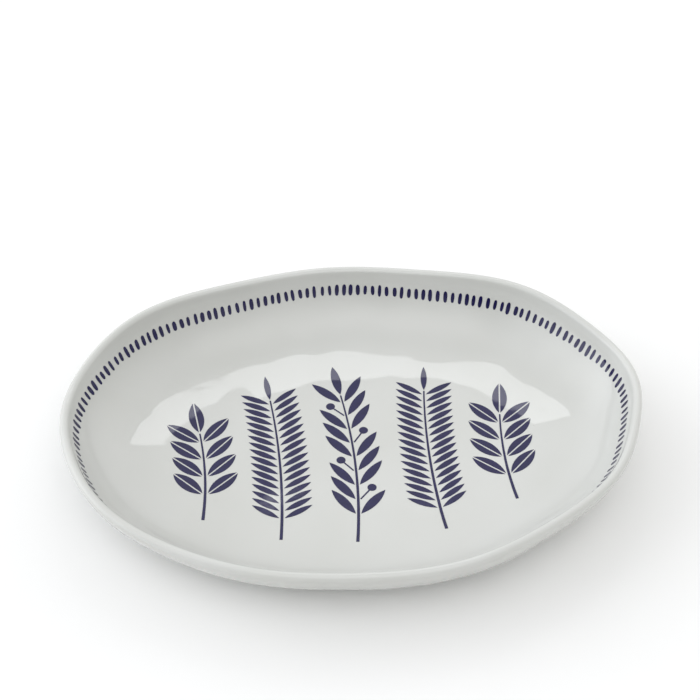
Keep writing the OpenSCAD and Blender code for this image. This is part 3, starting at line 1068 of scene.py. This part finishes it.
# %% Olives on their stalks
olive_cells = 6
stalk_points_along = 5
stalk_points_across = 2
olive_r = add(sprig, TIMES, given["Olive size"], 0.5)
olive_disc = add(sprig, "GeometryNodeTransform", {
    "Geometry": add(sprig, GROUP, {
        "Cells along": olive_cells, "Cells across": olive_cells,
    }, node_tree=round_print),
    "Translation": add(sprig, XYZ, given["Stalk length"]),
    "Scale": add(sprig, XYZ, olive_r, olive_r, 1.0),
})
bare_stalk = add(sprig, MINUS, given["Stalk length"], olive_r)
stalk_strip = add(sprig, GRID, {
    "Size X": bare_stalk,
    "Size Y": add(sprig, TIMES, given["Stem width"], given["Tip share"]),
    "Vertices X": stalk_points_along,
    "Vertices Y": stalk_points_across,
})
half_stalk = add(sprig, TIMES, bare_stalk, 0.5)
stalk = add(sprig, "GeometryNodeTransform", {
    "Geometry": stalk_strip, "Translation": add(sprig, XYZ, half_stalk),
})
olive = add(sprig, "GeometryNodeJoinGeometry", olive_disc)
fill(sprig, olive, {0: stalk})
olives = add(sprig, "GeometryNodeInstanceOnPoints", {
    "Points": leaf_places, "Selection": is_olive, "Instance": olive, "Rotation": leaf_rotation,
})
whole = add(sprig, "GeometryNodeJoinGeometry", stem)
fill(sprig, whole, {0: leaves})
fill(sprig, whole, {0: olives})
sprig_glaze = add(sprig, "GeometryNodeObjectInfo", {"Object": given["Glaze"]}).outputs["Geometry"]
finish_tree(sprig, dropped_on_glaze(sprig, whole, sprig_glaze, given["Lift"]), given["Finish"], made)

# %% Sizes of the three kinds of sprig
stem_w = 2.2 * MM
tip_share = 0.5
leaf_gap = 0.8 * MM
bare_share = 0.1
sprig_margin = 8 * MM
sprig_end_gap = 40.6 * MM
sprig_clear_height = 5 * MM
last_place = 2
well_half_l = nominal_half_l - wall_inset
well_half_w = nominal_half_w - wall_inset
sprig_pitch = (well_half_l - sprig_end_gap) / last_place

# clear is how far leaves stay from the line halfway to the next sprig. lean and bend are in degrees
kinds = {
    "bay": dict(clear=3.6 * MM, width=10.5 * MM, rib=1 * MM, pitch=16 * MM, lean=47, bend=14),
    "fern": dict(clear=5.4 * MM, width=4.4 * MM, rib=0.0, pitch=6.6 * MM, lean=58, bend=12),
    "olive": dict(clear=7.5 * MM, width=6.6 * MM, rib=0.0, pitch=13 * MM, lean=38, bend=16),
}
print("sprigs stand", round(sprig_pitch / MM, 1), "mm apart")


# %% The five sprigs
def sprig_piece(name, kind, place, side, node):
    """One printed sprig, as long as the well is wide there, with leaves that fill its share of the row."""
    sizes = kinds[kind]
    lean = math.radians(sizes["lean"])
    leaf_l = (sprig_pitch / 2 - sizes["clear"] - stem_w / 2 - leaf_gap) / math.sin(lean)
    x = place * sprig_pitch
    length = 2 * (well_half_w * math.sqrt(1 - (x / well_half_l) ** 2) - sprig_margin)
    stem_l = length - leaf_l - leaf_gap
    piece = grown(new_piece(name), sprig, {
        "Glaze": glaze,
        "Place": x,
        "Side": side,
        "Stem length": stem_l,
        "Stem width": stem_w,
        "Tip share": tip_share,
        "Bend": math.radians(sizes["bend"]),
        "Pitch": sizes["pitch"],
        "Pairs": math.floor(stem_l * (1 - bare_share) / sizes["pitch"]),
        "Lean": lean,
        "Leaf length": leaf_l,
        "Leaf width": sizes["width"],
        "Rib width": sizes["rib"],
        "Leaf gap": leaf_gap,
        "Olives": kind == "olive",
        "Height": floor_z + sprig_clear_height,
        "Lift": film_lift,
        "Finish": navy_print,
    }, film_t)
    on_platter(piece, "navy_print", node)


sprig_piece("olive_sprig", "olive", place=0, side=1.0, node="olive_print")
for side_name, side in (("left", 1.0), ("right", -1.0)):
    sprig_piece(f"fern_sprig_{side_name}", "fern", -1, side, f"fern_print_{side_name}")
    sprig_piece(f"bay_sprig_{side_name}", "bay", -last_place, side, f"bay_print_{side_name}")

# %% [markdown]
# ## Floor and light
# The platter stands on a white studio table inside a tent of white cloth, as product photographers use,
# so that the light comes from nearly everywhere and the shadow stays soft. The cloth glows most at the
# left and high above the camera, and least low down in front, where the photographer stands. Lamps could
# do this, but the gloss would mirror each one, so the world's light gives it as a sum of a few broad glows.
# One softbox, high up behind, makes the pale shape that the back of the well mirrors.

# %% White table
table_half = 4.0
table_haze_size = 200 * MM
table_corners = [(x * table_half, y * table_half, 0) for x, y in ((-1, -1), (1, -1), (1, 1), (-1, 1))]
table_mesh = bpy.data.meshes.new("studio_table")
table_mesh.from_pydata(table_corners, [], [(0, 1, 2, 3)])
table = new_piece("studio_table", table_mesh)

# White acrylic sheet, sanded matt: even and pale, with a faint haze in its tone
white_acrylic, tree, shader, place = new_material("white_acrylic")
haze = add(tree, NOISE, {"Vector": place, "Scale": 1 / table_haze_size})
fill(tree, shader, {
    "Base Color": add(tree, MIX, haze, linear("#F0F0EF"), linear("#F4F4F3"), data_type="RGBA"),
    "Roughness": 0.9,
    "Specular IOR Level": 0.1,
})
table_mesh.materials.append(white_acrylic)
print("made", table.name, 2 * table_half, "m wide")


# %% Glows of the light tent
def towards(azimuth, elevation):
    """The direction from the platter to an azimuth and elevation in degrees. Azimuth 0 is in front."""
    a = math.radians(azimuth)
    e = math.radians(elevation)
    return Vector((math.sin(a) * math.cos(e), -math.cos(a) * math.cos(e), math.sin(e)))


tent_glows = {
    "left": dict(azimuth=-95, elevation=20, tightness=6, strength=2.6, colour="#F9FBFF"),
    "left back": dict(azimuth=-140, elevation=30, tightness=4, strength=1.2, colour="#FBFCFF"),
    "right back": dict(azimuth=140, elevation=30, tightness=4, strength=1.0, colour="#FFFFFF"),
    "right": dict(azimuth=95, elevation=30, tightness=4, strength=0.55, colour="#FFFFFF"),
    "right front": dict(azimuth=30, elevation=30, tightness=4, strength=0.65, colour="#FFFFFF"),
    "above the camera": dict(azimuth=0, elevation=60, tightness=8, strength=1.9, colour="#FFFFFF"),
}

world = bpy.data.worlds.new("light_tent")
world.use_nodes = True
tent = world.node_tree
way = add(tent, "ShaderNodeTexCoord").outputs["Generated"]
tent_light = (0, 0, 0)
for glow in tent_glows.values():
    facing = add(tent, VECTOR, way, towards(glow["azimuth"], glow["elevation"]), operation="DOT_PRODUCT")
    ahead = add(tent, MATH, facing, 0.0, operation="MAXIMUM")
    share = add(tent, MATH, ahead, float(glow["tightness"]), operation="POWER")
    tint = Vector(linear(glow["colour"])[:3]) * glow["strength"]
    lit = add(tent, SCALE, tint, share)
    tent_light = add(tent, VECTOR_PLUS, lit, tent_light)
fill(tent, tent.nodes["Background"], {"Color": tent_light})
scene.world = world
print("the tent glows", ", ".join(tent_glows))


# %% Softbox behind the platter
def softbox(name, azimuth, elevation, distance, width, height, watts, colour):
    """A soft rectangular light that faces the platter."""
    lamp = bpy.data.objects.new(name, bpy.data.lights.new(name, "AREA"))
    lamp.data.shape = "RECTANGLE"
    lamp.data.size = width
    lamp.data.size_y = height
    lamp.data.energy = watts
    lamp.data.color = linear(colour)[:3]
    lamp.rotation_mode = "QUATERNION"
    lamp.rotation_quaternion = (-towards(azimuth, elevation)).to_track_quat("-Z", "Y")
    lamp.location = rim_middle + distance * towards(azimuth, elevation)
    scene.collection.objects.link(lamp)
    print("made", name, "at", [round(x, 2) for x in lamp.location])


softbox(
    "back_softbox",
    azimuth=173.5, elevation=53.4, distance=1.6,
    width=0.3, height=0.25, watts=0.6, colour="#FBFDFF",
)
